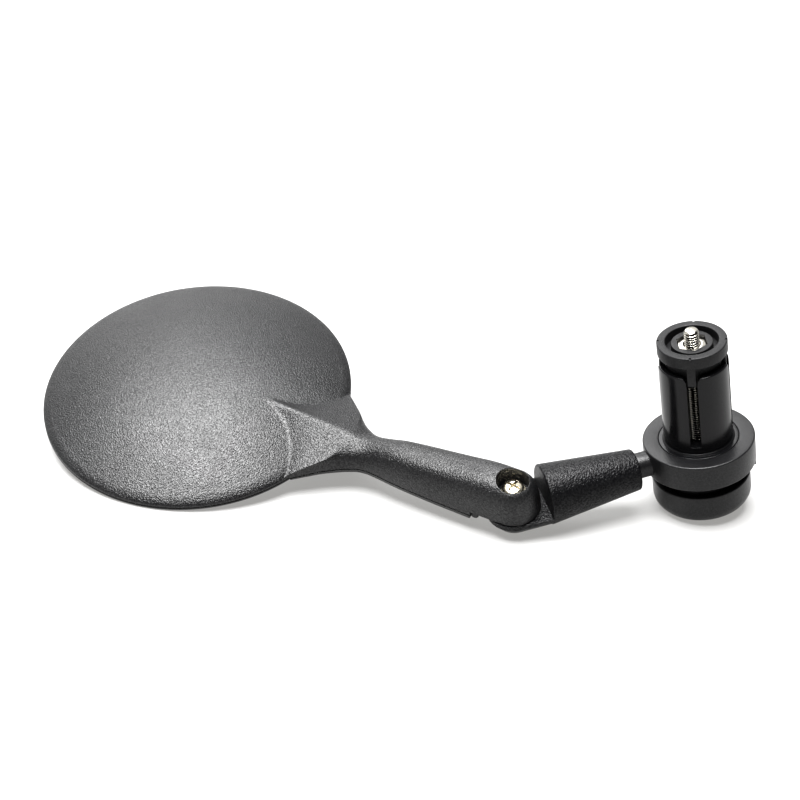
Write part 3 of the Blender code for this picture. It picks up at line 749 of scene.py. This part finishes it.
lap_points = ring_points(LAP_R, LAP_TOP) + ring_points(LAP_R, LAP_TOP - 1.3)
for t in np.linspace(0, 90, 6)[1:]:
    a = math.radians(t)
    lap_points += ring_points(LAP_R - 0.35 * (1 - math.cos(a)), LAP_TOP - 1.3 - 0.35 * math.sin(a), 110)
lap_points += ring_points(4.75, -7.42, 96) + ring_points(4.55, -7.58, 96) + ring_points(4.3, -7.6, 96)
x_end = ELBOW_X + LINK_FAR + 0.6
for i in range(73):
    t = math.radians(180 + 180 * i / 72)
    lap_points.append((x_end, 7.85 * math.cos(t), min(LINK_DROP + 7.85 * math.sin(t), LAP_TOP)))
lap = hull("lap", lap_points, ELBOW)
combine(link, [lap], "UNION", solver="EXACT")
combine(
    link,
    [
        revolve("sweep", [(0, 20), (KNUCKLE_R + 0.45, 20), (KNUCKLE_R + 0.45, LAP_TOP), (0, LAP_TOP)], 160, ELBOW),
        revolve("socket", [(0, -10), (NECK_R + 0.3, -10), (NECK_R + 0.3, -25.3), (0, -25.3)], 64, LINK_TURNED),
        revolve("pilot", [(0, -20), (1.75, -20), (1.75, -35), (0, -35)], 32, LINK_TURNED),
        revolve("lap_hole", [(0, 0), (PIN_HOLE_R, 0), (PIN_HOLE_R, -9), (0, -9)], 48, ELBOW),
        prism("nut_pocket", 6, PIN_NUT_AF / 2 / math.cos(math.pi / 6) + 0.17, -9, -4.3, ELBOW),
    ],
    solver="EXACT",
    sharp=28,
)
finish(link, LINKGRAIN, "link", "link_arm")
pivot = revolve(
    "pivot_screw_body",
    [(0, -7.9), (1.8, -7.9), (2.2, -8.3), (2.2, -9.9), (1.45, -9.9)]
    + [(1.45 if k % 2 else 1.15, -12.0 - 0.35 * k) for k in range(60)]
    + [(0.9, -33.4), (0, -34.0)],
    40,
    LINK_TURNED,
)
finish(pivot, STEEL, "link", "link_pivot_screw")
finish(revolve("pivot_washer_disc", rounded([(2.35, -10.2, 0.1), (2.35, -11.0, 0.1), (1.75, -11.0), (1.75, -10.2)]), 64, LINK_TURNED), STEEL, "swivel", "link_pivot_washer")

# ----------------------------------------------------------------- swivel ring
ring = revolve(
    "swivel_ring_body",
    rounded(
        [(RING_R, 0.0, 0.4), (RING_R, -RING_T, 0.4), (7.1, -RING_T, 0.1), (7.1, -1.25, 0), (10.47, -1.25, 0.05), (10.47, 0.0, 0.12)],
        segments=6,
    ),
    256,
    PLUG,
)
neck = revolve("neck", rounded([(0, -13.0), (NECK_R, -13.0), (NECK_R, -25.0, 0.3), (0, -25.0)], closed=False), 96, LINK_TURNED)
combine(ring, [neck], "UNION")
combine(
    ring,
    [
        revolve("neck_bore", [(0, -6), (1.75, -6), (1.75, -27), (0, -27)], 40, LINK_TURNED),
        revolve("pocket", [(0, -5), (2.6, -5), (2.6, -11.3), (0, -11.3)], 48, LINK_TURNED),
    ],
)
finish(ring, SATIN, "swivel", "swivel_ring")

# -------------------------------------------------------------------- plug hub
hub = revolve(
    "plug_hub_body",
    rounded(
        [
            (PLUG_R - 0.02, 0.5), (9.35, 0.2, 0.1), (9.35, 0.0, 0), (HUB_FLANGE_R, 0.0, 0.12), (HUB_FLANGE_R, -0.95, 0),
            (BARREL_R, -0.95), (BARREL_R, -11.5, 0.2), (BOLT_HOLE_R, -11.5), (BOLT_HOLE_R, 0.55, 0.2), (BORE_R + 0.1, 0.55, 0),
        ]
    ),
    160,
    PLUG,
)
finish(hub, GLOSS, "plug", "plug_hub")

# Split tube: one slotted tube, parted at the slots' middles into four tongues, each with its
# own sector of the root below the slots.
tube = revolve(
    "tube",
    rounded(
        [(8.35, JAW_TOP, 0), (PLUG_R, JAW_TOP, 0.45), (PLUG_R, 0.5, 0), (BORE_R, 0.5, 0), (BORE_R, 20.4, 0.6), (7.63, JAW_TOP, 0)]
    ),
    256,
    PLUG,
)
levels = bmesh.new()
levels.from_mesh(tube.data)
for z in np.linspace(1.2, 22.6, 26):
    bmesh.ops.bisect_plane(levels, geom=levels.verts[:] + levels.edges[:] + levels.faces[:], plane_co=(0, 0, z * MM), plane_no=(0, 0, 1))
levels.to_mesh(tube.data)
levels.free()
for k in range(4):
    az = SLOT_AZ + 90 * k
    at = turn(az, "Z")
    half = SLOT_W / 2
    outline = [(-half, SLOT_FLOOR + 0.5)]
    for t in np.linspace(180, 270, 6)[1:]:
        outline.append((-half + 0.5 + 0.5 * math.cos(math.radians(t)), SLOT_FLOOR + 0.5 + 0.5 * math.sin(math.radians(t))))
    outline += [(-p[0], p[1]) for p in reversed(outline[1:])] + [(half, SLOT_FLOOR + 0.5)]
    side = [(half, JAW_TOP - 2.3)]
    for t in np.linspace(0, 1, 10)[1:]:
        side.append((half + 1.15 * (1 - math.cos(t * math.pi / 2)), JAW_TOP - 2.3 + 2.3 * math.sin(t * math.pi / 2)))
    side.append((half + 1.15, JAW_TOP + 2))
    outline += side + [(-p[0], p[1]) for p in reversed(side)]
    n = len(outline)
    v = [(x, y, z) for x in (3.5, 12.0) for y, z in outline]
    f = [tuple(range(n)), tuple(n + i for i in reversed(range(n)))]
    f += [(i, n + i, n + (i + 1) % n, (i + 1) % n) for i in range(n)]
    combine(tube, [mesh_object("slot", v, f, at)], solver="EXACT")
for k in range(4):
    tongue = bpy.data.objects.new(f"plug_tongue_{k + 1}", tube.data.copy())
    scene.collection.objects.link(tongue)
    bm = bmesh.new()
    bm.from_mesh(tongue.data)
    for az, sign in ((SLOT_AZ + 90 * k, 1), (SLOT_AZ + 90 * (k + 1), -1)):
        a = math.radians(az)
        normal = Vector((-math.sin(a), math.cos(a), 0)) * sign
        cut = bmesh.ops.bisect_plane(
            bm, geom=bm.verts[:] + bm.edges[:] + bm.faces[:], plane_co=(0, 0, 0), plane_no=normal, clear_inner=True
        )
        rim = [e for e in cut["geom_cut"] if isinstance(e, bmesh.types.BMEdge)]
        bmesh.ops.holes_fill(bm, edges=rim, sides=0)
    bm.to_mesh(tongue.data)
    bm.free()
    tidy(tongue, 33)
    tongue.data.materials.clear()
    tongue.data.materials.append(GLOSS)
    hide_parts(f"plug_jaw_{k + 1}")
    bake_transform(tongue)
bpy.data.objects.remove(tube)

# -------------------------------------------------------------- expander cone
cone = revolve(
    "expander_body",
    rounded(
        [
            (PLUG_R, COLLAR_TOP, 0.3), (PLUG_R, COLLAR_BOTTOM, 0.3), (7.75, COLLAR_BOTTOM, 0.1), (7.3, JAW_TOP, 0), (5.15, 18.4, 0.2),
            (BOLT_HOLE_R, 18.3, 0), (BOLT_HOLE_R, 29.15, 0), (5.35, 29.15, 0.15), (5.35, 27.2, 0), (6.8, 27.2, 0), (6.8, COLLAR_TOP, 0.2),
        ]
    ),
    224,
    PLUG,
)
keys = [
    box("key", (4.0, -1.1, 20.9), (8.35, 1.1, 26.6), turn(SLOT_AZ + 90 * k, "Z"), bevel=0.2, pick=lambda m, d: m.z < 21.5)
    for k in range(4)
]
combine(cone, keys, "UNION", solver="EXACT")
nicks = [
    box("nick", (8.35, -0.28, COLLAR_TOP - 0.35), (9.6, 0.28, COLLAR_TOP + 1), turn(SLOT_AZ + 90 * k, "Z"))
    for k in range(4)
]
combine(
    cone,
    nicks
    + [
        prism("pocket", 6, 7.3 / 2 / math.cos(math.pi / 6), 25.4, 31, PLUG, math.radians(20)),
        revolve("bore", [(0, 25.9), (BOLT_HOLE_R, 25.9), (BOLT_HOLE_R, 17), (0, 17)], 48, PLUG),
    ],
    solver="EXACT",
)
finish(cone, NYLON, "expander", "expander_cone")
finish(hex_nut("clamp_nut_body", 7.0, 25.7, 28.6, BOLT_R + 0.12, PLUG, math.radians(20)), STEEL, "expander", "clamp_nut")

# ------------------------------------------------------------------ clamp bolt
bolt = threaded_rod(
    "clamp_bolt_body",
    32.75,
    -2.0,
    head=[
        (BOLT_R, -2.0), (BOLT_R, -15.4), (BOLT_R + 0.1, -15.7), (3.35, -15.7), (3.5, -15.85), (3.5, -19.05), (3.4, -19.28), (3.15, -19.4), (0.6, -19.4),
    ],
    tip=0.8,
)
combine(bolt, [prism("socket", 6, 1.5 / math.cos(math.pi / 6), -20.5, -17.4)], solver="EXACT", sharp=40)
finish(bolt, STEEL, "clamp_bolt", "clamp_bolt")
# Faces near the thread root take the near-black steel: painted shade along the thread grooves.
bolt.data.materials.append(THREAD_ROOT_SHADE)
for polygon in bolt.data.polygons:
    c = polygon.center / MM
    if -1.5 < c.z < 32.4 and math.hypot(c.x, c.y) < BOLT_ROOT_R + 0.27:
        polygon.material_index = 1
finish(revolve("bolt_washer_disc", rounded([(4.4, -14.6, 0.12), (4.4, -15.4, 0.12), (BOLT_HOLE_R, -15.4), (BOLT_HOLE_R, -14.6)]), 96), STEEL, "plug", "bolt_washer")

# --------------------------------------------------------------------- end cap
cap = revolve(
    "end_cap_body",
    rounded(
        [
            (10.8, -9.6, 0.1), (10.8, CAP_TOP, 0), (CAP_R, CAP_TOP, 0.4), (CAP_R, CAP_BOTTOM, CAP_EDGE), (4.7, CAP_BOTTOM, 0.3),
            (4.7, -14.3, 0), (BOLT_HOLE_R, -14.3), (BOLT_HOLE_R, -11.8), (7.1, -11.8), (7.1, -9.6),
        ],
        segments=14,
    ),
    224,
    PLUG,
)
finish(cap, SATIN, "plug", "end_cap")


def serrate(r, z, a):
    if r > 11.0:
        r -= 0.22 * (0.5 + 0.5 * math.cos(72 * a))
    return r, z


fwasher = revolve("friction_washer_body", [(11.6, -7.7), (11.6, -9.25), (11.3, -9.3), (7.1, -9.3), (7.1, -7.67), (11.3, -7.67)], 432, PLUG, 40, serrate)
tab_at = turn(-13, "Z")
tab = box("tab", (11.0, -1.6, -10.5), (14.0, 1.6, -7.95), tab_at, bevel=0.25)
combine(fwasher, [tab], "UNION", solver="EXACT")
teeth = []
for k in (-1, 0, 1):
    az = math.radians(-13) + k * 1.05 / 14.0
    teeth.append(revolve("tooth", rounded([(0, -7.95), (0.42, -7.95, 0.12), (0.42, -10.5, 0.12), (0, -10.5)], closed=False), 24, shift(14.0 * math.cos(az), 14.0 * math.sin(az), 0)))
combine(fwasher, teeth, "UNION", solver="EXACT")
finish(fwasher, NYLON, "plug", "friction_washer")

# -------------------------------------------------------- floor, light, camera
# The mirror lies on its end cap and the rim of its head, so the floor leans against the
# plug's axis.
floor_up = Vector((0.1405, 0.0092, 0.99)).normalized()
lowest = min(floor_up.dot(v.co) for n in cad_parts.values() for v in n.data.vertices)
side = floor_up.cross(Vector((0, 1, 0))).normalized()
other = floor_up.cross(side)
centre = floor_up * (lowest - 0.00015)
bm = bmesh.new()
bmesh.ops.create_circle(bm, cap_ends=True, segments=128, radius=6.0)
for v in bm.verts:
    v.co = centre + side * v.co.x + other * v.co.y
bmesh.ops.recalc_face_normals(bm, faces=bm.faces)
floor_mesh = bpy.data.meshes.new("floor")
bm.to_mesh(floor_mesh)
bm.free()
floor = bpy.data.objects.new("floor", floor_mesh)
scene.collection.objects.link(floor)
fm = Nodes("floor_white")
fm.link(fm.ramp(fm.noise(3.0, 2.0), [(0.3, (0.222, 0.222, 0.222)), (0.7, (0.230, 0.230, 0.230))]), fm.bsdf.inputs["Base Color"])
fm.bsdf.inputs["Roughness"].default_value = 0.75
fm.bsdf.inputs["Emission Color"].default_value = (1.0, 0.99, 0.965, 1.0)
fm.bsdf.inputs["Emission Strength"].default_value = 0.33
fm.bsdf.inputs["Specular IOR Level"].default_value = 0.15
floor_mesh.materials.append(fm.mat)

# A pale surround that only the camera sees, so that the horizon is the floor's white from
# every side and the studio's dark front still shades the plastic.
bm = bmesh.new()
bmesh.ops.create_uvsphere(bm, u_segments=64, v_segments=32, radius=9.0)
backdrop_mesh = bpy.data.meshes.new("backdrop")
bm.to_mesh(backdrop_mesh)
bm.free()
backdrop = bpy.data.objects.new("backdrop", backdrop_mesh)
scene.collection.objects.link(backdrop)
bd = Nodes("backdrop_white")
bd.bsdf.inputs["Base Color"].default_value = (0, 0, 0, 1)
bd.bsdf.inputs["Specular IOR Level"].default_value = 0.0
bd.link(bd.ramp(bd.noise(0.4, 2.0), [(0.3, (0.995, 0.995, 0.99)), (0.7, (1.0, 1.0, 1.0))]), bd.bsdf.inputs["Emission Color"])
bd.bsdf.inputs["Emission Strength"].default_value = 1.02
backdrop_mesh.materials.append(bd.mat)
for ray in ("diffuse", "glossy", "transmission", "shadow", "volume_scatter"):
    setattr(backdrop, "visible_" + ray, False)

world = bpy.data.worlds.new("studio")
scene.world = world
world.use_nodes = True
wt = world.node_tree
back = wt.nodes["Background"]
coord = wt.nodes.new("ShaderNodeTexCoord")
lean = wt.nodes.new("ShaderNodeVectorMath")
lean.operation = "DOT_PRODUCT"
lean.inputs[1].default_value = (-0.05, 0.80, 0.60)
wt.links.new(coord.outputs["Generated"], lean.inputs[0])
scale = wt.nodes.new("ShaderNodeMapRange")
scale.inputs["From Min"].default_value = -1.0
scale.inputs["From Max"].default_value = 1.0
wt.links.new(lean.outputs["Value"], scale.inputs["Value"])
sky = wt.nodes.new("ShaderNodeValToRGB")
wt.links.new(scale.outputs["Result"], sky.inputs["Fac"])
SKY = [(0.0, 0.012), (0.40, 0.015), (0.54, 0.07), (0.72, 0.30), (0.88, 0.85), (0.97, 1.0)]
while len(sky.color_ramp.elements) < len(SKY):
    sky.color_ramp.elements.new(0.5)
for element, (pos, level) in zip(sky.color_ramp.elements, SKY):
    element.position = pos
    element.color = (level, level, level, 1)
wt.links.new(sky.outputs["Color"], back.inputs["Color"])
back.inputs["Strength"].default_value = 1.05


def studio_light(name, kind, toward, energy, angle):
    """A distant light shining from the direction `toward`."""
    light = bpy.data.lights.new(name, kind)
    light.energy = energy
    light.angle = math.radians(angle)
    obj = bpy.data.objects.new(name, light)
    obj.rotation_euler = Vector(toward).to_track_quat("Z", "Y").to_euler()
    scene.collection.objects.link(obj)
    return obj


studio_light("overhead", "SUN", (0.0, -0.02, 1.0), 12.0, 44)
studio_light("rear", "SUN", (0.06, 0.74, 0.67), 1.2, 34)

FOCAL, ELEVATION, AZIMUTH, ROLL = 2457.7, 33.68, -11.15, -8.66
OFF_X, OFF_Y, DISTANCE = 77.36, -9.25, 636.87
e, a, r = math.radians(ELEVATION), math.radians(AZIMUTH), math.radians(ROLL)
backward = Vector((math.sin(a) * math.cos(e), -math.cos(a) * math.cos(e), math.sin(e)))
right = (-backward).cross(Vector((0, 0, 1))).normalized()
up = right.cross(-backward)
cam_x = right * math.cos(r) + up * math.sin(r)
cam_y = -right * math.sin(r) + up * math.cos(r)
place = -(cam_x * OFF_X + cam_y * OFF_Y - backward * DISTANCE) * MM
camera = bpy.data.cameras.new("camera")
camera.sensor_width = 36.0
camera.lens = FOCAL * 36.0 / 800.0
camera.clip_start, camera.clip_end = 0.01, 50.0
cam = bpy.data.objects.new("camera", camera)
cam.matrix_world = Matrix(
    (
        (cam_x.x, cam_y.x, backward.x, place.x),
        (cam_x.y, cam_y.y, backward.y, place.y),
        (cam_x.z, cam_y.z, backward.z, place.z),
        (0, 0, 0, 1),
    )
)
scene.collection.objects.link(cam)
scene.camera = cam
scene.view_settings.view_transform = "Standard"
scene.view_settings.look = "None"
scene.view_settings.exposure = 0.25
scene.view_settings.gamma = 0.86
